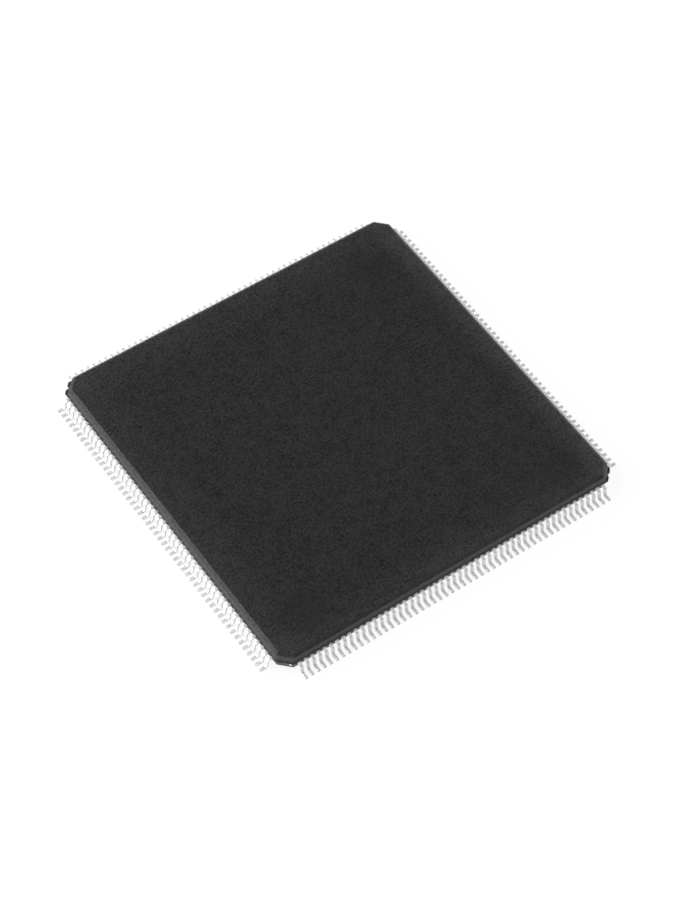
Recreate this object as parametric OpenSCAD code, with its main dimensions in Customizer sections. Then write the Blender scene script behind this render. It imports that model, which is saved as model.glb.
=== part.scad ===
// Low-profile quad flat pack: a flat moulded body on four rows of gull-wing leads.
// The frame sits on the seating plane under the middle of the body, with +Z up.

/* [Moulded body] */
// Width of the square body across its parting line
body_w = 28; // [24:0.5:32]
// Thickness of the moulding
body_t = 1.4; // [1.2:0.05:2.4]
// Gap between the seating plane and the underside of the moulding
standoff = 0.1; // [0.05:0.01:0.3]
// Draft of the moulded sides, in degrees from upright
draft = 12; // [5:1:15]
// Leg of the four corner chamfers at the parting line
corner_cut = 0.9; // [0.6:0.05:1.5]
// Width of the bevel round the top face
bevel_w = 0.22; // [0.1:0.01:0.4]
// Height of the bevel round the top face
bevel_h = 0.15; // [0.05:0.01:0.25]
// Width of the mould flash left round the parting line
flash_w = 0.04; // [0.02:0.01:0.06]
// Thickness of the mould flash
flash_t = 0.16; // [0.15:0.01:0.2]

/* [Ejector marks on the underside] */
// Diameter of each ejector pin mark
mark_d = 1.8; // [1:0.1:3]
// Depth of each ejector pin mark
mark_depth = 0.04; // [0.02:0.01:0.08]
// Distance from the body's sides in to the middle of each mark
mark_inset = 3.2; // [2.5:0.1:5]

/* [Leads] */
// Spacing of the leads along a side
lead_pitch = 0.5; // [0.4:0.05:0.8]
// Width of a lead
lead_w = 0.22; // [0.17:0.01:0.27]
// Thickness of the lead frame's sheet
lead_t = 0.127; // [0.1:0.001:0.15]
// Reach of the leads beyond the body's parting line
lead_reach = 1; // [0.9:0.05:1.3]
// Flat shoulder of a lead before its first bend
shoulder = 0.2; // [0.2:0.01:0.3]
// Inside radius of both bends of a lead
bend_r = 0.12; // [0.08:0.01:0.16]
// Lean of a lead's riser, in degrees from upright
lead_lean = 8; // [3:1:15]
// Steps in the curve of each bend
bend_steps = 4; // [3:1:8]
// Distance from a corner chamfer to the middle of the nearest lead, at the least
corner_gap = 0.34; // [0.3:0.01:0.6]
// Gap between the parting line and the cut stubs of the dam bar
dam_gap = 0.07; // [0.06:0.01:0.08]
// Length of a dam bar stub along its lead
dam_len = 0.1; // [0.05:0.01:0.11]
// Width that a dam bar stub adds to each side of its lead
dam_stub = 0.025; // [0.01:0.005:0.04]

/* [Lead frame inside the moulding] */
// Width of the square die pad
pad_w = 10.5; // [9.5:0.1:11.5]
// Drop of the die pad below the plane of the leads
pad_drop = 0.22; // [0.15:0.01:0.28]
// Gap between the die pad and the tips of the lead fingers
tip_gap = 1.2; // [0.8:0.1:2]
// Width of a lead finger at its inner tip
tip_w = 0.12; // [0.08:0.01:0.13]
// Straight length of a lead finger at its inner tip
tip_len = 0.4; // [0.3:0.05:0.8]
// Distance from the diagonal to the last finger, measured along the row of tips
tip_end_gap = 0.84; // [0.6:0.02:1.2]
// Length inside the parting line where a finger still runs straight
root_len = 0.6; // [0.5:0.05:0.7]
// Width of the bars that hold the die pad at its corners
tie_w = 0.3; // [0.2:0.01:0.4]
// Flat length of a tie bar before it climbs from the pad to the leads' plane
tie_flat = 0.4; // [0.2:0.05:0.8]
// Length over which a tie bar climbs
tie_climb = 0.4; // [0.3:0.05:0.8]
// Width of the cut end of a tie bar, where it shows in a corner chamfer
tie_end_w = 0.16; // [0.15:0.01:0.3]
// Length that a cut tie bar stands out of the mould flash on its chamfer
tie_proud = 0.07; // [0.01:0.01:0.1]
// Sideways jog of the tie bar's end in the front left corner
tie_jog = 0.4; // [0:0.05:0.4]
// Straight length of a tie bar's cut end inside the chamfer
tie_end_len = 0.22; // [0.15:0.01:0.25]

/* [Die and bonding] */
// Width of the square silicon die
die_w = 8.6; // [7:0.1:9]
// Thickness of the die
die_t = 0.28; // [0.2:0.01:0.3]
// Thickness of the adhesive under the die
glue_t = 0.02; // [0.01:0.005:0.04]
// Width of the adhesive's fillet beyond each side of the die
glue_margin = 0.12; // [0.05:0.01:0.2]
// Distance from the edge of the die to the row of wire bonds
bond_inset = 0.1; // [0.08:0.01:0.2]
// Distance from the corner of the die to the last wire bond
bond_end_gap = 0.27; // [0.25:0.01:0.5]
// Diameter of a bond wire
wire_d = 0.03; // [0.02:0.005:0.035]
// Sides that make the round of a wire, its neck and its ball
wire_sides = 16; // [16:4:32]
// Diameter of the ball that bonds a wire to the die
ball_d = 0.06; // [0.05:0.005:0.08]
// Height of the ball
ball_h = 0.02; // [0.01:0.005:0.03]
// Diameter of the stiff neck above the ball
neck_d = 0.045; // [0.04:0.005:0.05]
// Height of a wire above the die where it leaves its neck
loop_h = 0.12; // [0.08:0.01:0.2]
// Distance from the tip of a lead finger to the middle of its stitch bond
stitch_inset = 0.15; // [0.1:0.01:0.25]
// Length of the flattened stitch that bonds a wire to its finger
stitch_len = 0.1; // [0.08:0.01:0.15]
// Width of the stitch
stitch_w = 0.06; // [0.04:0.005:0.07]
// Thickness of the stitch
stitch_t = 0.045; // [0.045:0.005:0.06]

/* [Tape across the lead fingers] */
// Width of the tape that holds the lead fingers in step
tape_w = 1; // [0.6:0.1:1.5]
// Thickness of the tape
tape_t = 0.07; // [0.05:0.005:0.1]
// Distance from the tips of the fingers out to the tape
tape_inset = 0.9; // [0.7:0.1:1.5]

/* [Hidden] */
$fn = 32;

// The side modules are drawn facing +X and turned to their places by these angles
FRONT = 270;
RIGHT = 0;
BACK = 90;
LEFT = 180;

// Each hollow for a sealed piece reaches this far down into the hollow of the piece that
// it rests on, so that together they leave one clear space in the moulding
overlap = 0.01;

// Levels, from the seating plane upwards
lead_z = standoff + body_t / 2;
bottom_z = standoff;
top_z = standoff + body_t;
pad_z = lead_z - pad_drop;
glue_z = pad_z + lead_t / 2;
die_z = glue_z + glue_t;
die_top_z = die_z + die_t;
finger_top_z = lead_z + lead_t / 2;

// The octagonal plan of the body, from its middle to its sides and to its chamfers
half_w = body_w / 2;
half_diag = (body_w - corner_cut) / sqrt(2);

// The row of leads on one side, spread evenly about the middle of the side
row_room = half_w - corner_cut - corner_gap;
lead_count = 2 * floor(row_room / lead_pitch + 0.5);
tip_u = pad_w / 2 + tip_gap;
tip_pitch = 2 * (tip_u - tip_end_gap) / (lead_count - 1);
bond_u = die_w / 2 - bond_inset;
bond_pitch = 2 * (die_w / 2 - bond_end_gap) / (lead_count - 1);

// The gull wing: both bends turn through bend_turn about the sheet's middle line
end_u = half_w + lead_reach;
bend_turn = 90 - lead_lean;
bend_mid_r = bend_r + lead_t / 2;
bend_drop = bend_mid_r * (1 - cos(bend_turn));
riser = (lead_z - lead_t / 2 - 2 * bend_drop) / sin(bend_turn);
bend1 = [half_w + shoulder, lead_z - bend_mid_r];
bend2 = bend1 + 2 * bend_mid_r * [sin(bend_turn), cos(bend_turn)]
    + riser * [cos(bend_turn), -sin(bend_turn)];

// Number of a lead counted from the middle of its side, in halves
function place(i) = i - (lead_count - 1) / 2;

// Points on an arc about c from angle a to angle b, with 0 straight up and 90 outwards
function arc(c, r, a, b) = [
    for (k = [0:bend_steps])
        let (t = a + (b - a) * k / bend_steps)
            c + r * [sin(t), cos(t)]
];

// Section through the moulding: drafted up and down from the parting line, bevelled on top
function body_section(half) =
    let (
        low = half - (lead_z - bottom_z) * tan(draft),
        high = half - (top_z - bevel_h - lead_z) * tan(draft),
        right_side = [
            [low, bottom_z], [half, lead_z], [high, top_z - bevel_h], [high - bevel_w, top_z]
        ],
        left_side = [for (k = [len(right_side) - 1:-1:0]) [-right_side[k][0], right_side[k][1]]]
    )
    concat(right_side, left_side);

// Section through a flat plate between two levels
function plate_section(width, low, high) = [
    [-width / 2, low], [width / 2, low], [width / 2, high], [-width / 2, high]
];

// Section through a row of leads, from the finger tips out to the feet
function lead_section() = concat(
    [[tip_u, finger_top_z]],
    arc(bend1, bend_r + lead_t, 0, bend_turn),
    arc(bend2, bend_r, 180 + bend_turn, 180),
    [[end_u, lead_t], [end_u, 0]],
    arc(bend2, bend_r + lead_t, 180, 180 + bend_turn),
    arc(bend1, bend_r, bend_turn, 0),
    [[tip_u, lead_z - lead_t / 2]]
);

// One edge of a lead as it is stamped from the sheet: side is 1 or -1
function lead_edge(i, side) =
    let (
        outer = place(i) * lead_pitch + side * lead_w / 2,
        inner = place(i) * tip_pitch + side * tip_w / 2,
        dam = half_w + dam_gap
    )
    [
        [tip_u, inner], [tip_u + tip_len, inner], [half_w - root_len, outer],
        [dam, outer], [dam, outer + side * dam_stub],
        [dam + dam_len, outer + side * dam_stub], [dam + dam_len, outer],
        [end_u, outer]
    ];

// The closed outline of a stamped lead
function lead_outline(i) =
    let (near = lead_edge(i, -1), far = lead_edge(i, 1))
    concat(near, [for (k = [len(far) - 1:-1:0]) far[k]]);

// A bar with the given upright section, running both ways along Y from the middle
module upright_bar(section, width) {
    rotate([90, 0, 0])
        linear_extrude(height = width, center = true)
            polygon(section);
}

// The leads of one side as they are stamped from the flat sheet
module stamped_row() {
    for (i = [0:lead_count - 1])
        polygon(lead_outline(i));
}

module lead_row(turn) {
    color("silver")
        rotate([0, 0, turn])
            intersection() {
                upright_bar(lead_section(), body_w);
                linear_extrude(height = top_z)
                    stamped_row();
            }
}

// A die pad's tie bar, drawn along +X to its cut end beyond the chamfer
module tie_bar(jog) {
    foot_d = pad_w / sqrt(2) + tie_flat;
    head_d = foot_d + tie_climb;
    end_d = half_diag + flash_w + tie_proud;
    neck_d = half_diag - tie_end_len;
    turn_d = neck_d - tie_end_len - jog / 2;
    start_d = pad_w / sqrt(2) - tie_w;
    climb = [
        [start_d, pad_z], [foot_d, pad_z], [head_d, lead_z], [end_d, lead_z]
    ];
    lower = [for (p = climb) p - [0, lead_t / 2]];
    upper = [for (k = [len(climb) - 1:-1:0]) climb[k] + [0, lead_t / 2]];
    plan = [
        [start_d, -tie_w / 2], [turn_d, -tie_w / 2],
        [neck_d, jog - tie_end_w / 2], [end_d, jog - tie_end_w / 2],
        [end_d, jog + tie_end_w / 2], [neck_d, jog + tie_end_w / 2],
        [turn_d, tie_w / 2], [start_d, tie_w / 2]
    ];
    intersection() {
        upright_bar(concat(lower, upper), 4 * tie_w + 2 * jog);
        linear_extrude(height = top_z)
            polygon(plan);
    }
}

module die_pad() {
    color("#c8c4ba") {
        upright_bar(plate_section(pad_w, pad_z - lead_t / 2, pad_z + lead_t / 2), pad_w);
        for (turn = [45, 135, 315])
            rotate([0, 0, turn])
                tie_bar(0);
        rotate([0, 0, 225])
            tie_bar(tie_jog);
    }
}

module die_attach(sunk = 0) {
    glue_w = die_w + 2 * glue_margin;
    color("#9a9a92")
        upright_bar(plate_section(glue_w, glue_z - sunk, die_z), glue_w);
}

module die(sunk = 0) {
    color("#6a7486")
        upright_bar(plate_section(die_w, die_z - sunk, die_top_z), die_w);
}

module tape_ring() {
    inner = 2 * (tip_u + tape_inset);
    difference() {
        square(inner + 2 * tape_w, center = true);
        square(inner, center = true);
    }
}

module finger_tape() {
    color("#b06a1e")
        translate([0, 0, finger_top_z])
            linear_extrude(height = tape_t)
                tape_ring();
}

// One bond wire in its own upright plane: a ball and neck at the origin on the die, and
// a straight fall from the neck to a stitch that lies span away and drop below the die
module wire(span, drop, sunk) {
    fall = [span, loop_h + drop - stitch_t / 2];
    translate([0, 0, -sunk])
        cylinder(h = ball_h + sunk, d = ball_d, $fn = wire_sides);
    cylinder(h = loop_h + wire_d, d = neck_d, $fn = wire_sides);
    translate([0, 0, loop_h])
        rotate([0, 90 + atan2(fall[1], fall[0]), 0])
            cylinder(h = norm(fall), d = wire_d, $fn = wire_sides);
    translate([span - stitch_len / 2, -stitch_w / 2, -drop - sunk])
        cube([stitch_len, stitch_w, stitch_t + sunk]);
}

module wire_row(turn, sunk = 0) {
    stitch_u = tip_u + stitch_inset;
    drop = die_top_z - finger_top_z;
    color("gold")
        rotate([0, 0, turn])
            for (i = [0:lead_count - 1]) {
                bond = [bond_u, place(i) * bond_pitch];
                stitch = [stitch_u, place(i) * tip_pitch];
                path = stitch - bond;
                translate([bond[0], bond[1], die_top_z])
                    rotate([0, 0, atan2(path[1], path[0])])
                        wire(norm(path), drop, sunk);
            }
}

// Room for one side's leads in the moulding, measured down from the face that holds the tape
module finger_hollows(turn) {
    rotate([0, 0, turn])
        translate([0, 0, finger_top_z])
            mirror([0, 0, 1])
                linear_extrude(height = lead_t)
                    stamped_row();
}

// The moulding's solid form, as four crossed bars that leave drafted sides and chamfers
module moulding() {
    length = 2 * body_w;
    intersection() {
        upright_bar(body_section(half_w), length);
        rotate([0, 0, 90])
            upright_bar(body_section(half_w), length);
        rotate([0, 0, 45])
            upright_bar(body_section(half_diag), length);
        rotate([0, 0, 135])
            upright_bar(body_section(half_diag), length);
    }
}

// The thin lip of mould flash round the parting line
module flash() {
    lip = half_w + flash_w;
    cut = corner_cut + flash_w * (2 - sqrt(2));
    translate([0, 0, lead_z - flash_t / 2])
        linear_extrude(height = flash_t)
            polygon([
                [lip, cut - lip], [lip, lip - cut], [lip - cut, lip], [cut - lip, lip],
                [-lip, lip - cut], [-lip, cut - lip], [cut - lip, -lip], [lip - cut, -lip]
            ]);
}

module ejector_marks() {
    place = half_w - mark_inset;
    for (x = [-place, place])
        for (y = [-place, place])
            translate([x, y, bottom_z - mark_depth])
                cylinder(h = 2 * mark_depth, d = mark_d);
}

module body() {
    color("#3a3a3c")
        difference() {
            union() {
                moulding();
                flash();
            }
            ejector_marks();
            die_pad();
            die_attach(overlap);
            die(overlap);
            finger_tape();
            for (turn = [FRONT, RIGHT, BACK, LEFT]) {
                finger_hollows(turn);
                wire_row(turn, overlap);
            }
        }
}

body();
die_pad();
die_attach();
die();
finger_tape();
lead_row(FRONT);  // leads_front
lead_row(RIGHT);  // leads_right
lead_row(BACK);  // leads_back
lead_row(LEFT);  // leads_left
wire_row(FRONT);  // wires_front
wire_row(RIGHT);  // wires_right
wire_row(BACK);  // wires_back
wire_row(LEFT);  // wires_left
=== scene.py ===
import math
import random

import bpy
from mathutils import Matrix, Vector, geometry, noise

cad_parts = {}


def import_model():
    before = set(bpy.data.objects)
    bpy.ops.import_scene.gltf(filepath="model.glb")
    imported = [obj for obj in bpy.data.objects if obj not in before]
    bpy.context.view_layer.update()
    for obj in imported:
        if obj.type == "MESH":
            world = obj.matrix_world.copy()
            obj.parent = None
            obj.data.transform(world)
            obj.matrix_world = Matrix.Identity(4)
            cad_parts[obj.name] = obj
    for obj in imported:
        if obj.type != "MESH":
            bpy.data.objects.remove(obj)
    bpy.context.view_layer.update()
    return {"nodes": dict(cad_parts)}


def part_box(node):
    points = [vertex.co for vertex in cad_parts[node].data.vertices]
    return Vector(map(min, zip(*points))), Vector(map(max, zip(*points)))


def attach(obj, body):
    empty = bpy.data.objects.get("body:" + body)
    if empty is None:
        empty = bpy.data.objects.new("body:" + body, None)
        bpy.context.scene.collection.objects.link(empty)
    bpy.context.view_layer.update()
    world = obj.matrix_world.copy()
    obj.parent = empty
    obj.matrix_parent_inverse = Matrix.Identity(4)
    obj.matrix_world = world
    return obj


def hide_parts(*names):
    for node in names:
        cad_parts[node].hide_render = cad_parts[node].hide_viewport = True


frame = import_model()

rng = random.Random(208)

# Lengths below are millimetres, as in the CAD source, and become metres when a mesh is made
MM = 0.001
FLASH_W, FLASH_T = 0.04, 0.16
DRAFT = math.radians(12)
CORNER_CUT = 0.9
BEVEL_W, BEVEL_H = 0.22, 0.15
MARK_D, MARK_DEPTH, MARK_INSET, MARK_SLOPE = 1.8, 0.04, 3.2, 0.06
PITCH, LEAD_W, LEAD_T = 0.5, 0.22, 0.127
SHOULDER, BEND_R, LEAN = 0.2, 0.12, math.radians(8)
DAM_GAP, DAM_LEN, DAM_STUB = 0.07, 0.1, 0.025
TIP_W, TIP_LEN, TIP_END_GAP, ROOT_LEN = 0.12, 0.4, 0.84, 0.6
EIGHTH = math.pi / 4

# Levels and plan sizes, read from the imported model
low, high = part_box("body")
HALF_W = high.x / MM - FLASH_W
BOTTOM_Z, TOP_Z = low.z / MM, high.z / MM
LEAD_Z = (BOTTOM_Z + TOP_Z) / 2
HALF_DIAG = (2 * HALF_W - CORNER_CUT) / math.sqrt(2)
low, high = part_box("leads_right")
TIP_U, END_U = low.x / MM, high.x / MM
LEAD_COUNT = round(((high.y - low.y) / MM - LEAD_W) / PITCH) + 1
TIP_PITCH = 2 * (TIP_U - TIP_END_GAP) / (LEAD_COUNT - 1)


# ---------------------------------------------------------------- node materials

# Nearly all of a noise's values lie in this range
NOISE_SPAN = (0.3, 0.7)


class Nodes:
    """A node tree under construction, with short ways to add and join nodes."""

    def __init__(self, tree):
        self.tree = tree

    def add(self, kind, inputs=(), **settings):
        made = self.tree.nodes.new(kind)
        for key, value in settings.items():
            setattr(made, key, value)
        for key, value in dict(inputs).items():
            self.feed(made.inputs[key], value)
        return made

    def feed(self, socket, value):
        if isinstance(value, bpy.types.NodeSocket):
            self.tree.links.new(value, socket)
        else:
            socket.default_value = value

    def maths(self, operation, a, b=0.0, c=0.0, clamp=False):
        inputs = {0: a, 1: b, 2: c}
        made = self.add("ShaderNodeMath", inputs, operation=operation, use_clamp=clamp)
        return made.outputs[0]

    def span(self, value, from_low, from_high, to_low, to_high):
        inputs = {"Value": value, "From Min": from_low, "From Max": from_high,
                  "To Min": to_low, "To Max": to_high}
        return self.add("ShaderNodeMapRange", inputs).outputs["Result"]


class Shader(Nodes):
    """A new material and its node tree, with texture places in millimetres."""

    def __init__(self, name):
        self.material = bpy.data.materials.new(name)
        self.material.use_nodes = True
        super().__init__(self.material.node_tree)
        self.bsdf = self.tree.nodes["Principled BSDF"]

    def blend(self, share, a, b):
        made = self.add("ShaderNodeMix", {"Factor": share}, data_type="RGBA")
        self.feed(made.inputs[6], a)
        self.feed(made.inputs[7], b)
        return made.outputs[2]

    def places(self):
        """Object coordinates in millimetres."""
        found = self.add("ShaderNodeTexCoord").outputs["Object"]
        inputs = {0: found, "Scale": 1 / MM}
        return self.add("ShaderNodeVectorMath", inputs, operation="SCALE").outputs[0]

    def grain(self, places, per_mm, detail, rough=0.5):
        inputs = {"Vector": places, "Scale": per_mm, "Detail": detail, "Roughness": rough}
        return self.add("ShaderNodeTexNoise", inputs).outputs["Fac"]

    def cells(self, places, per_mm, **settings):
        """A random value for each cell of a Voronoi pattern."""
        inputs = {"Vector": places, "Scale": per_mm}
        colours = self.add("ShaderNodeTexVoronoi", inputs, **settings).outputs["Color"]
        return self.add("ShaderNodeSeparateColor", {0: colours}).outputs[0]

    def bump(self, height, depth_mm):
        inputs = {"Height": height, "Distance": depth_mm * MM, "Strength": 1.0}
        self.feed(self.bsdf.inputs["Normal"], self.add("ShaderNodeBump", inputs).outputs[0])

    def set(self, **values):
        for key, value in values.items():
            self.feed(self.bsdf.inputs[key.replace("_", " ")], value)

    def finish(self, tone, fine, colours, gloss, depth_mm, **values):
        """A surface whose colour follows one noise, and gloss and relief a finer one."""
        colour = self.blend(self.span(tone, *NOISE_SPAN, 0, 1), *colours)
        self.set(Base_Color=colour, Roughness=self.span(fine, *NOISE_SPAN, *gloss), **values)
        self.bump(fine, depth_mm)
        return self.material


def grey(value, warm=0.0):
    return (value * (1 + warm), value, value * (1 - warm), 1)


# Soft dull discs that the mould's pins leave on the top face: place and diameter
TOP_DISCS = [((10.3, 10.6), 3.6), ((10.7, -11.9), 3.0), ((-10.5, -11.5), 3.6)]

# How deep the discs are sunk, the width of their wall, and how far their dull tone fades
# inside and outside their rim
DISC_DEPTH, DISC_WALL = 0.006, 0.3
DISC_FADE_IN, DISC_FADE_OUT = 0.5, 0.3

# Painted sheen: how much paler the top face's colour is painted towards each side, standing in
# for the light that falls there: axis, sign, how far in it begins, how much
RIM_PAINTED_SHEEN = [
    ("X", -1, 3.4, 0.45),
    ("X", 1, 1.8, 1.1),
    ("Y", -1, 2.2, 0.5),
    ("Y", 1, 3.4, 0.6),
]
RIM_EDGE = HALF_W - 0.5


# Painted sheen: a mask that rises towards the top face's edges, where the colour is painted
# paler for light
def painted_rim_sheen(s, at):
    part = s.add("ShaderNodeSeparateXYZ", {0: at}).outputs
    rim = 0.0
    for axis, sign, reach, most in RIM_PAINTED_SHEEN:
        outward = s.maths("MULTIPLY", part[axis], sign)
        near = s.span(outward, RIM_EDGE - reach, RIM_EDGE, 0, 1)
        near = s.maths("POWER", s.maths("MAXIMUM", near, 0.0), 1.5)
        rim = s.maths("MULTIPLY_ADD", near, most, rim)
    return rim


def on_discs(s, at):
    discs = 0.0
    for place, width in TOP_DISCS:
        inputs = {0: at, 1: (*place, TOP_Z)}
        away = s.add("ShaderNodeVectorMath", inputs, operation="DISTANCE").outputs["Value"]
        disc = s.span(away, width / 2 - DISC_FADE_IN, width / 2 + DISC_FADE_OUT, 1, 0)
        discs = s.maths("MAXIMUM", discs, disc)
    return discs


def levelness(s):
    """The surface normal's Z without its sign: 1 on level faces, 0 on upright ones."""
    normal = s.add("ShaderNodeTexCoord").outputs["Normal"]
    facing = s.add("ShaderNodeVectorMath", {0: normal}, operation="ABSOLUTE").outputs[0]
    return s.add("ShaderNodeSeparateXYZ", {0: facing}).outputs["Z"]


def mould_compound():
    """Black filled epoxy with a spark-eroded skin. Its colour is painted paler along the top
    face's rim as painted sheen, and on its bevel and drafted sides as painted reflections of
    the bright floor and leads."""
    s = Shader("mould_compound")
    at = s.places()
    fine = s.grain(at, 5.4, 1.5)
    coarse = s.grain(at, 1.7, 1)
    cloud = s.grain(at, 0.16, 2)
    rim, discs, level = painted_rim_sheen(s, at), on_discs(s, at), levelness(s)
    tone = s.maths("MULTIPLY_ADD", coarse, 0.25, s.maths("MULTIPLY", fine, 0.75))
    share = s.span(tone, 0.33, 0.67, 0, 1)
    share = s.maths("MULTIPLY_ADD", cloud, 0.3, s.maths("SUBTRACT", share, 0.15))
    share = s.maths("SUBTRACT", share, s.maths("MULTIPLY", discs, 0.25), clamp=True)
    # The painted sheen of the rim is kept to level faces
    rim = s.maths("MULTIPLY", rim, s.span(level, 0.88, 0.97, 0, 1))
    # Masks for the bevel and the drafted sides, by how level the face is; the paler colours
    # they get below are painted reflections
    bevel = s.span(level, 0.93, 0.87, 0, 1)
    side = s.span(level, 0.45, 0.25, 0, 1)
    colour = s.blend(share, grey(0.0004), grey(0.0155))
    # Painted light: the rim's paler colours are painted sheen, and the bevel's and drafted
    # sides' paler colours are painted reflections of the floor and leads
    for where, dark, light in (
            (rim, 0.0125, 0.041), (bevel, 0.018, 0.032), (side, 0.052, 0.08)):
        colour = s.blend(where, colour, s.blend(share, grey(dark), grey(light)))
    rough = s.span(tone, 0.35, 0.65, 0.38, 0.6)
    rough = s.maths("ADD", rough, s.maths("MULTIPLY", discs, 0.08))
    s.set(Base_Color=colour, Roughness=rough, Specular_IOR_Level=0.35)
    s.bump(fine, 0.05)
    return s.material


def tin_plate():
    s = Shader("matte_tin")
    at = s.places()
    patch, fine = s.grain(at, 5, 2), s.grain(at, 40, 3, 0.6)
    colours = grey(0.78, 0.004), grey(0.93, 0.004)
    return s.finish(patch, fine, colours, (0.28, 0.42), 0.003, Metallic=0.45)


def cut_alloy():
    s = Shader("cut_alloy")
    streak = s.grain(s.places(), 30, 2, 0.6)
    colours = grey(0.36, 0.05), grey(0.5, 0.05)
    return s.finish(streak, streak, colours, (0.38, 0.55), 0.004, Metallic=1.0)


def frame_alloy():
    """Rolled sheet: the grain is drawn out along Y."""
    s = Shader("lead_frame_alloy")
    inputs = {0: s.places(), 1: (30, 3, 30)}
    rolled = s.add("ShaderNodeVectorMath", inputs, operation="MULTIPLY").outputs[0]
    lines = s.grain(rolled, 1, 3, 0.6)
    colours = grey(0.72, 0.03), grey(0.86, 0.03)
    return s.finish(lines, lines, colours, (0.25, 0.4), 0.002, Metallic=1.0)


def polyimide():
    s = Shader("polyimide")
    at = s.places()
    cloud, fine = s.grain(at, 1.2, 2), s.grain(at, 12, 3, 0.6)
    colours = (0.36, 0.13, 0.02, 1), (0.5, 0.2, 0.035, 1)
    return s.finish(cloud, fine, colours, (0.25, 0.4), 0.003, Specular_IOR_Level=0.6)


def gold():
    s = Shader("bond_gold")
    fine = s.grain(s.places(), 60, 2, 0.6)
    colours = (0.83, 0.55, 0.2, 1), (0.95, 0.68, 0.3, 1)
    return s.finish(fine, fine, colours, (0.16, 0.3), 0.0008, Metallic=1.0)


def silver_epoxy():
    """Adhesive full of silver flakes, each of its own brightness."""
    s = Shader("silver_epoxy")
    flake = s.cells(s.places(), 35.0)
    colour = s.blend(flake, grey(0.32, 0.02), grey(0.62, 0.02))
    s.set(Base_Color=colour, Metallic=0.7, Roughness=s.span(flake, 0, 1, 0.35, 0.65))
    s.bump(flake, 0.004)
    return s.material


def silicon():
    """A die's blocks of circuits, ruled with rows of cells."""
    s = Shader("silicon")
    at = s.places()
    block = s.cells(at, 1.1, distance="CHEBYCHEV")
    rows = s.add("ShaderNodeTexWave", {"Vector": at, "Scale": 6.0}).outputs["Fac"]
    share = s.maths("MULTIPLY_ADD", rows, 0.25, s.maths("MULTIPLY", block, 0.75))
    colour = s.blend(share, (0.05, 0.07, 0.12, 1), (0.22, 0.2, 0.26, 1))
    s.set(Base_Color=colour, Metallic=0.6, Roughness=s.span(share, 0, 1, 0.12, 0.3))
    s.bump(share, 0.001)
    return s.material


# ---------------------------------------------------------------- mesh helpers

def fillet(points, radii, steps):
    """An open line of points with each inner corner rounded to its radius."""
    made = [points[0]]
    for before, corner, after, radius in zip(points, points[1:], points[2:], radii):
        a = (Vector(before) - Vector(corner)).normalized()
        b = (Vector(after) - Vector(corner)).normalized()
        half = a.angle(b) / 2
        centre = Vector(corner) + (a + b).normalized() * (radius / math.sin(half))
        start = Vector(corner) + a * (radius / math.tan(half)) - centre
        end = Vector(corner) + b * (radius / math.tan(half)) - centre
        sweep = math.atan2(start.x * end.y - start.y * end.x, start.dot(end))
        for k in range(steps + 1):
            t = sweep * k / steps
            turned = Vector((start.x * math.cos(t) - start.y * math.sin(t),
                             start.x * math.sin(t) + start.y * math.cos(t)))
            made.append(tuple(centre + turned))
    made.append(points[-1])
    return made


def stitch(faces, ring_a, ring_b):
    """Adds the quads between two closed rings of vertex numbers."""
    for k in range(len(ring_a)):
        n = (k + 1) % len(ring_a)
        faces.append((ring_a[k], ring_a[n], ring_b[n], ring_b[k]))


def show(name, data):
    made = bpy.data.objects.new(name, data)
    bpy.context.scene.collection.objects.link(made)
    return made


def make_piece(name, verts, faces, materials, node, sorts=()):
    """A shown piece from points in millimetres, that stands for this CAD node. Where there
    are several materials, sorts holds the number of each face's."""
    mesh = bpy.data.meshes.new(name)
    mesh.from_pydata([(x * MM, y * MM, z * MM) for x, y, z in verts], [], faces)
    for material in materials:
        mesh.materials.append(material)
    if sorts:
        mesh.polygons.foreach_set("material_index", sorts)
    mesh.polygons.foreach_set("use_smooth", [True] * len(faces))
    mesh.validate()
    piece = show(name, mesh)
    even = piece.modifiers.new("even_shading", "WEIGHTED_NORMAL")
    even.mode = "FACE_AREA"
    even.weight = 50
    even.keep_sharp = True
    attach(piece, "root")
    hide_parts(node)
    return piece


# ---------------------------------------------------------------- the moulding

# The plan's corners, and the spacing of points along its straight sides
PLAN_R, PLAN_R_STEPS = 0.12, 4
SIDE_STEP = 0.0625

# Where the rings of the bottom and top face begin, inwards of the parting line
BOTTOM_FACE_IN, TOP_FACE_IN = 0.32, 0.44

# Radii of the edges of the profile
BOTTOM_R, BEVEL_R, TOP_R = 0.07, 0.06, 0.05
FLASH_ROOT_R, FLASH_TIP_R = 0.015, 0.03
PROFILE_STEPS = 4

# The most that the flash stands out further beside the tie bar's end at each corner
CORNER_FLASH = {(-1, 1): 0.16, (1, -1): 0.13, (1, 1): 0.1, (-1, -1): 0.03}

# Where that lip begins and ends across the corner, and over what lengths it comes and goes
LIP_START, LIP_RISE = 0.09, 0.08
LIP_END, LIP_FALL = 0.64, 0.12

# The wall of a round pin mark, as shares of its width and of its depth
MARK_WALL = ((0, 0), (0.15, 0.04), (0.4, 0.35), (0.6, 0.65), (0.85, 0.96), (1, 1))
MARK_STEPS = 72


def limit(value, least=0.0, most=1.0):
    return min(most, max(least, value))


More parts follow.
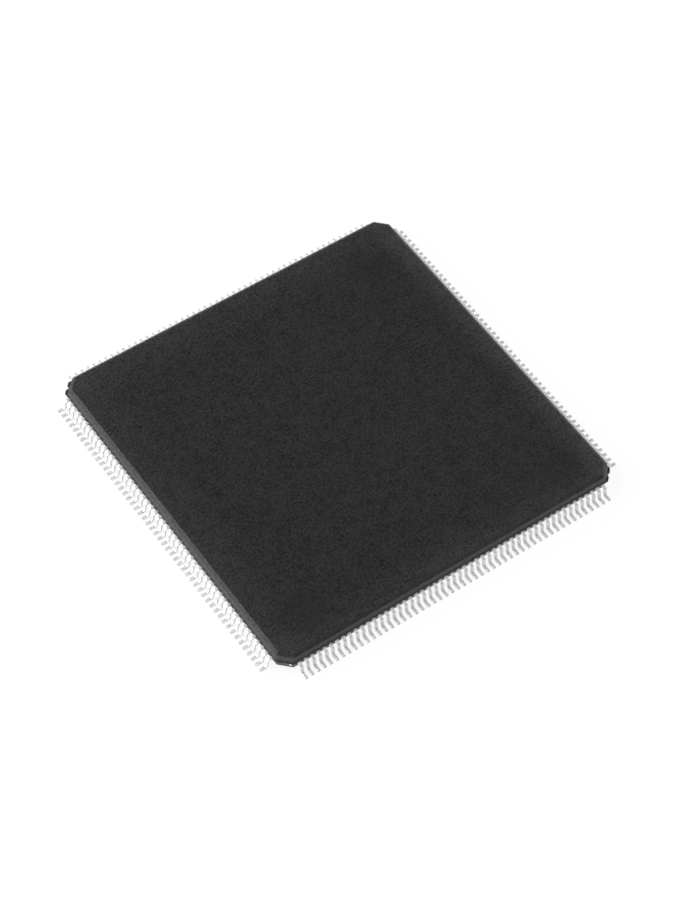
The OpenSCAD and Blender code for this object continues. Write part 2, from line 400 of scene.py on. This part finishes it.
def plan_ring(inset):
    """The octagonal plan, moved in by inset, as (x, y, distance along the rim) points."""
    cut = PLAN_R * math.tan(EIGHTH / 2)
    points, along = [], 0.0
    for k in range(8):
        away, other = (HALF_W, HALF_DIAG) if k % 2 == 0 else (HALF_DIAG, HALF_W)
        # Half the length of this side, up to the corner that it shares with the next: full
        # at the parting line, and half where the plan is moved in
        full = (other - away * math.cos(EIGHTH)) * math.sqrt(2)
        away, other = away - inset, other - inset
        half = (other - away * math.cos(EIGHTH)) / math.sin(EIGHTH)
        steps = max(2, round(2 * full / SIDE_STEP))
        facing = k * EIGHTH
        normal = Vector((math.cos(facing), math.sin(facing)))
        sideways = Vector((-normal.y, normal.x))
        for i in range(steps + 1):
            t = (2 * i / steps - 1) * (half - cut)
            p = normal * away + sideways * t
            points.append((p.x, p.y, along + (2 * i / steps) * full))
        along += 2 * full
        centre = normal * (away - PLAN_R) + sideways * (half - cut)
        for i in range(1, PLAN_R_STEPS):
            a = facing + EIGHTH * i / PLAN_R_STEPS
            p = centre + PLAN_R * Vector((math.cos(a), math.sin(a)))
            points.append((p.x, p.y, along))
    return points


def ragged(along):
    """How far the mould flash comes out at a place on the rim, from 0 to 1."""
    slow = noise.noise((along * 0.9, 3.1, 0.0))
    fast = noise.noise((along * 5.5, 7.7, 0.0))
    return limit(0.8 + 0.35 * slow + 0.3 * fast, 0.35)


def corner_flash(x, y):
    """The extra flash at a corner: a lip on either side of the tie bar's end."""
    sides = (math.copysign(1, x), math.copysign(1, y))
    across = abs(sides[0] * x - sides[1] * y) / math.sqrt(2)
    rise = limit((across - LIP_START) / LIP_RISE)
    fall = limit((LIP_END - across) / LIP_FALL)
    return CORNER_FLASH[sides] * rise * fall


def flashed(x, y, along, out, most):
    """A place on the flash, out from its root by this much of the most, drawn in where the
    flash is ragged and out where a corner has more of it."""
    pull = out * (1 - ragged(along))
    if abs(abs(x) - abs(y)) < CORNER_CUT:
        pull -= out / most * corner_flash(x, y)
    facing = round(math.atan2(y, x) / EIGHTH) * EIGHTH
    return x - pull * math.cos(facing), y - pull * math.sin(facing)


def sunk_mark(verts, faces, centre, width, depth, wall, z, up):
    """A round mark sunk into a level face, with a sloping wall. Returns its rim."""
    rings = []
    for inset, drop in MARK_WALL:
        r = width / 2 - inset * wall
        level = z - depth * drop if up else z + depth * drop
        ring = []
        for k in range(MARK_STEPS):
            a = 2 * math.pi * k / MARK_STEPS
            ring.append(len(verts))
            verts.append((centre[0] + r * math.cos(a), centre[1] + r * math.sin(a), level))
        rings.append(ring)
    for outer, inner in zip(rings, rings[1:]):
        if up:
            stitch(faces, outer, inner)
        else:
            stitch(faces, inner, outer)
    faces.append(tuple(rings[-1] if up else rings[-1][::-1]))
    return rings[0]


def flat_face(verts, faces, rim, marks, z, up):
    """Fills a level face between its rim and its round marks, each (centre, diameter,
    depth, width of its wall)."""
    outline = [Vector(verts[i][:2]) for i in rim]
    edges = [(k, (k + 1) % len(rim)) for k in range(len(rim))]
    numbers = list(rim)
    for mark in marks:
        ring = sunk_mark(verts, faces, *mark, z, up)
        first = len(outline)
        outline += [Vector(verts[i][:2]) for i in ring]
        edges += [(first + (k + 1) % len(ring), first + k) for k in range(len(ring))]
        numbers += ring
    places, _, triangles, sources, _, _ = geometry.delaunay_2d_cdt(outline, edges, [], 1, 1e-6)
    for triangle in triangles:
        middle = sum((places[k] for k in triangle), Vector((0, 0))) / 3
        if any((middle - Vector(c)).length < w / 2 - 1e-4 for c, w, _, _ in marks):
            continue
        corners = [numbers[sources[k][0]] for k in triangle]
        a, b, c = (Vector(verts[k][:2]) for k in corners)
        anticlockwise = (b - a).cross(c - a) > 0
        faces.append(tuple(corners if anticlockwise == up else corners[::-1]))


def moulding():
    lean = math.tan(DRAFT)
    half_t = FLASH_T / 2
    root = half_t * lean
    bevel_in = (TOP_Z - BEVEL_H - LEAD_Z) * lean
    profile = fillet(
        [(BOTTOM_FACE_IN, BOTTOM_Z), ((LEAD_Z - BOTTOM_Z) * lean, BOTTOM_Z),
         (root, LEAD_Z - half_t), (-FLASH_W, LEAD_Z - half_t),
         (-FLASH_W, LEAD_Z + half_t), (root, LEAD_Z + half_t),
         (bevel_in, TOP_Z - BEVEL_H), (bevel_in + BEVEL_W, TOP_Z), (TOP_FACE_IN, TOP_Z)],
        [BOTTOM_R, FLASH_ROOT_R, FLASH_TIP_R, FLASH_TIP_R, FLASH_ROOT_R, BEVEL_R, TOP_R],
        PROFILE_STEPS)
    verts, faces, rings = [], [], []
    for inset, z in profile:
        ring = []
        for x, y, along in plan_ring(inset):
            if inset < root:
                x, y = flashed(x, y, along, root - inset, root + FLASH_W)
            ring.append(len(verts))
            verts.append((x, y, z))
        rings.append(ring)
    for below, above in zip(rings, rings[1:]):
        stitch(faces, below, above)
    place = HALF_W - MARK_INSET
    pins = [((x, y), MARK_D, MARK_DEPTH, MARK_SLOPE)
            for x in (-place, place) for y in (-place, place)]
    flat_face(verts, faces, rings[0], pins, BOTTOM_Z, False)
    discs = [(centre, width, DISC_DEPTH, DISC_WALL) for centre, width in TOP_DISCS]
    flat_face(verts, faces, rings[-1], discs, TOP_Z, True)
    make_piece("moulded_body", verts, faces, [mould_compound()], "body")


# ---------------------------------------------------------------- the leads

# Radii of a lead's section: rolled over by the punch on top, sharper underneath
ROLLED_R, SHARP_R, SECTION_STEPS = 0.022, 0.01, 3
BEND_STEPS, TAPER_STEPS = 12, 6

# A sheared end is trimmed all round, over this length: at a finger's tip, and at a toe
TIP_TRIM = 0.008
TOE_TRIMS = ((0.02, 0.0), (0.006, 0.003), (0.0, 0.011))

# Half the length over which the stub of the dam bar stands out
STUB_EASE = 0.004


def strip_section(left, right, thick, trim):
    """The rounded section of a stamped strip as (across, up), rolled over more on top."""
    top, bottom = thick / 2 - trim, -thick / 2 + trim
    left, right = left - trim, right - trim
    corners = [(right, bottom), (right, top), (-left, top), (-left, bottom)]
    radii = [SHARP_R, ROLLED_R, ROLLED_R, SHARP_R]
    return fillet([(0, bottom), *corners, (0, bottom)], radii, SECTION_STEPS)[:-1]


def lead_stations():
    """Stops along a lead from its finger tip to its toe: (outward, up, turn, share of the
    way from the finger's place to the lead's place, width, stub, trim)."""
    mid_r = BEND_R + LEAD_T / 2
    turn = math.pi / 2 - LEAN
    drop = mid_r * (1 - math.cos(turn))
    riser = (LEAD_Z - LEAD_T / 2 - 2 * drop) / math.sin(turn)
    c1 = Vector((HALF_W + SHOULDER, LEAD_Z - mid_r))
    c2 = c1 + 2 * mid_r * Vector((math.sin(turn), math.cos(turn)))
    c2 += riser * Vector((math.cos(turn), -math.sin(turn)))
    taper_u, root = TIP_U + TIP_LEN, HALF_W - ROOT_LEN
    dam, dam_end = HALF_W + DAM_GAP, HALF_W + DAM_GAP + DAM_LEN
    made = []

    def level(u, share=1, width=LEAD_W, stub=0, trim=0.0, z=LEAD_Z):
        made.append((u, z, 0.0, share, width, stub, trim))

    def bend(centre, radius, angle):
        p = centre + radius * Vector((math.sin(angle), math.cos(angle)))
        made.append((p.x, p.y, angle, 1, LEAD_W, 0, 0.0))

    level(TIP_U, 0, TIP_W, trim=TIP_TRIM)
    level(TIP_U + TIP_TRIM, 0, TIP_W)
    level(taper_u, 0, TIP_W)
    for k in range(1, TAPER_STEPS + 1):
        share = k / TAPER_STEPS
        level(taper_u + (root - taper_u) * share, share, TIP_W + (LEAD_W - TIP_W) * share)
    level(HALF_W)
    level(dam - STUB_EASE)
    level(dam + STUB_EASE, stub=1)
    level(dam_end - STUB_EASE, stub=1)
    level(dam_end + STUB_EASE)
    for k in range(BEND_STEPS + 1):
        bend(c1, mid_r, turn * k / BEND_STEPS)
    for k in range(BEND_STEPS + 1):
        bend(c2, -mid_r, turn * (1 - k / BEND_STEPS))
    for back, trim in TOE_TRIMS:
        level(END_U - back, trim=trim, z=LEAD_T / 2)
    return made


def lead_row(side, turn, tin, cut):
    stations = lead_stations()
    verts, faces, sorts = [], [], []
    c, s = round(math.cos(turn)), round(math.sin(turn))
    for i in range(LEAD_COUNT):
        place = i - (LEAD_COUNT - 1) / 2
        stubs = [DAM_STUB * rng.uniform(0.55, 1.0) for _ in range(2)]
        rings = []
        for u, z, a, share, width, stub, trim in stations:
            v = place * (TIP_PITCH + (PITCH - TIP_PITCH) * share)
            left, right = (width / 2 + stub * length for length in stubs)
            ring = []
            for across, up in strip_section(left, right, LEAD_T, trim):
                pu, pv, pz = u + up * math.sin(a), v + across, z + up * math.cos(a)
                ring.append(len(verts))
                verts.append((c * pu - s * pv, s * pu + c * pv, pz))
            rings.append(ring)
        # All is plated but the last band and the toe, which are sheared bare
        for inner, outer in zip(rings, rings[1:]):
            stitch(faces, outer, inner)
        faces.append(tuple(rings[0]))
        faces.append(tuple(rings[-1][::-1]))
        around = len(rings[0])
        sorts += [0] * around * (len(rings) - 2) + [1] * around + [0, 1]
    name, node = f"lead_row_{side}", f"leads_{side}"
    make_piece(name, verts, faces, [tin, cut], node, sorts)


# ---------------------------------------------------------------- pieces kept from the CAD

def dress(node, material, edge):
    """Gives a CAD node its finish, and small rounded edges by modifiers alone."""
    piece = frame["nodes"][node]
    piece.data.materials.clear()
    piece.data.materials.append(material)
    weld = piece.modifiers.new("weld", "WELD")
    weld.merge_threshold = 1e-7
    if edge:
        bevel = piece.modifiers.new("edges", "BEVEL")
        bevel.width = edge * MM
        bevel.segments = 2
        bevel.limit_method = "ANGLE"
        bevel.angle_limit = math.radians(40)


def build():
    moulding()
    tin, cut, wire = tin_plate(), cut_alloy(), gold()
    for side, turn in (("front", 270), ("right", 0), ("back", 90), ("left", 180)):
        lead_row(side, math.radians(turn), tin, cut)
        dress(f"wires_{side}", wire, 0)
    dress("die_pad", frame_alloy(), 0.01)
    dress("die_attach", silver_epoxy(), 0.004)
    dress("die", silicon(), 0.004)
    dress("finger_tape", polyimide(), 0.006)


# ---------------------------------------------------------------- stage, light and camera

# The stage and the lamps are placed in metres, the camera in millimetres
FLOOR_REACH, FLOOR_DROP = 3.0, 0.00001
LAMP_AWAY = 0.7

# How white the floor looks to the camera and in reflections, as glow and shade, and the
# grey of the paper that the light falls on
GLOW, SHADE = 0.9, (0.105, 0.115)
FLOOR_GREY = 0.85

# The dark panels of the light tent: direction, cosines where each begins and where it is
# darkest, and the light that is left there
DARK_PANELS = [
    ((-0.343, -0.46, 0.819), 0.6, 0.95, 0.08),
    ((0.343, 0.46, 0.819), 0.72, 0.95, 0.3),
    ((0.3, -0.9, 0.32), 0.8, 0.95, 0.2),
]

# Direction, width and radiance of each softbox
SOFTBOXES = {
    "softbox_left": ((-0.66, 0.44, 0.6), 0.5, 4.4),
    "softbox_right": ((0.93, -0.08, 0.36), 0.3, 2.5),
    "softbox_top": ((0, -0.05, 1), 0.3, 1.6),
    "softbox_back": ((-0.16, 0.96, 0.25), 0.3, 2.5),
}


def floor():
    """White to the camera and in reflections, plain pale paper to the light, and clear from
    below."""
    s = Shader("white_floor")
    s.tree.nodes.remove(s.bsdf)
    path = s.add("ShaderNodeLightPath").outputs
    seen = s.maths("MAXIMUM", path["Is Camera Ray"], path["Is Glossy Ray"])
    seen = s.maths("MAXIMUM", seen, path["Is Transmission Ray"])
    shade = s.blend(s.grain(s.places(), 0.05, 2), *(grey(value) for value in SHADE))
    lit = s.add("ShaderNodeBsdfDiffuse", {"Color": shade}).outputs[0]
    glow = {"Color": (1, 1, 1, 1), "Strength": GLOW}
    glow = s.add("ShaderNodeEmission", glow).outputs[0]
    plain = s.add("ShaderNodeBsdfDiffuse", {"Color": grey(FLOOR_GREY)}).outputs[0]
    white = s.add("ShaderNodeAddShader", {0: lit, 1: glow}).outputs[0]
    top = s.add("ShaderNodeMixShader", {0: seen, 1: plain, 2: white}).outputs[0]
    clear = s.add("ShaderNodeBsdfTransparent").outputs[0]
    back = s.add("ShaderNodeNewGeometry").outputs["Backfacing"]
    both = s.add("ShaderNodeMixShader", {0: back, 1: top, 2: clear}).outputs[0]
    s.feed(s.tree.nodes["Material Output"].inputs["Surface"], both)
    corners = [(-1, -1), (1, -1), (1, 1), (-1, 1)]
    mesh = bpy.data.meshes.new("floor")
    verts = [(x * FLOOR_REACH, y * FLOOR_REACH, 0) for x, y in corners]
    mesh.from_pydata(verts, [], [(0, 1, 2, 3)])
    mesh.materials.append(s.material)
    made = show("floor", mesh)
    made.location.z = -FLOOR_DROP


def world():
    """A light tent: white low down, with dark panels high in front and behind, and one low
    at its open front."""
    made = bpy.data.worlds.new("light_tent")
    bpy.context.scene.world = made
    made.use_nodes = True
    s = Nodes(made.node_tree)
    towards = s.add("ShaderNodeTexCoord").outputs["Generated"]
    upward = s.add("ShaderNodeSeparateXYZ", {0: towards}).outputs["Z"]
    level = s.span(upward, 0.4, 0.9, 1.0, 0.8)
    for middle, start, end, least in DARK_PANELS:
        inputs = {0: towards, 1: middle}
        near = s.add("ShaderNodeVectorMath", inputs, operation="DOT_PRODUCT").outputs["Value"]
        level = s.maths("MULTIPLY", level, s.span(near, start, end, 1.0, least))
    base = s.tree.nodes["Background"]
    s.feed(base.inputs["Strength"], level)
    s.feed(base.inputs["Color"], (1, 1, 1, 1))


def softbox(name, towards, width, radiance):
    data = bpy.data.lights.new(name, "AREA")
    data.shape = "SQUARE"
    data.size = width
    data.energy = radiance * math.pi * width * width
    made = show(name, data)
    made.location = Vector(towards).normalized() * LAMP_AWAY
    made.rotation_mode = "QUATERNION"
    made.rotation_quaternion = Vector(towards).to_track_quat("Z", "Y")


def camera(azimuth, elevation, roll, distance, right_by, up_by, lens):
    """Looks at the origin from this far off, moved sideways and up without a turn. Azimuth
    0 looks along +Y. Angles are degrees, lengths millimetres."""
    a, e, r = (math.radians(x) for x in (azimuth, elevation, roll))
    back = Vector((math.sin(a) * math.cos(e), -math.cos(a) * math.cos(e), math.sin(e)))
    level = Vector((math.cos(a), math.sin(a), 0))
    rise = back.cross(level)
    right = level * math.cos(r) + rise * math.sin(r)
    up = rise * math.cos(r) - level * math.sin(r)
    data = bpy.data.cameras.new("camera")
    data.sensor_width = 36
    data.lens = lens
    data.clip_start, data.clip_end = 0.005, 20
    made = show("camera", data)
    place = (back * distance + right * right_by + up * up_by) * MM
    axes = Matrix((right, up, back)).transposed().to_4x4()
    made.matrix_world = Matrix.Translation(place) @ axes
    bpy.context.scene.camera = made


build()
floor()
world()
for name, box in SOFTBOXES.items():
    softbox(name, *box)
camera(azimuth=-37.01, elevation=54.56, roll=2.605, distance=182.3,
       right_by=0.135, up_by=-0.839, lens=103.56)
bpy.context.scene.view_settings.view_transform = "Standard"
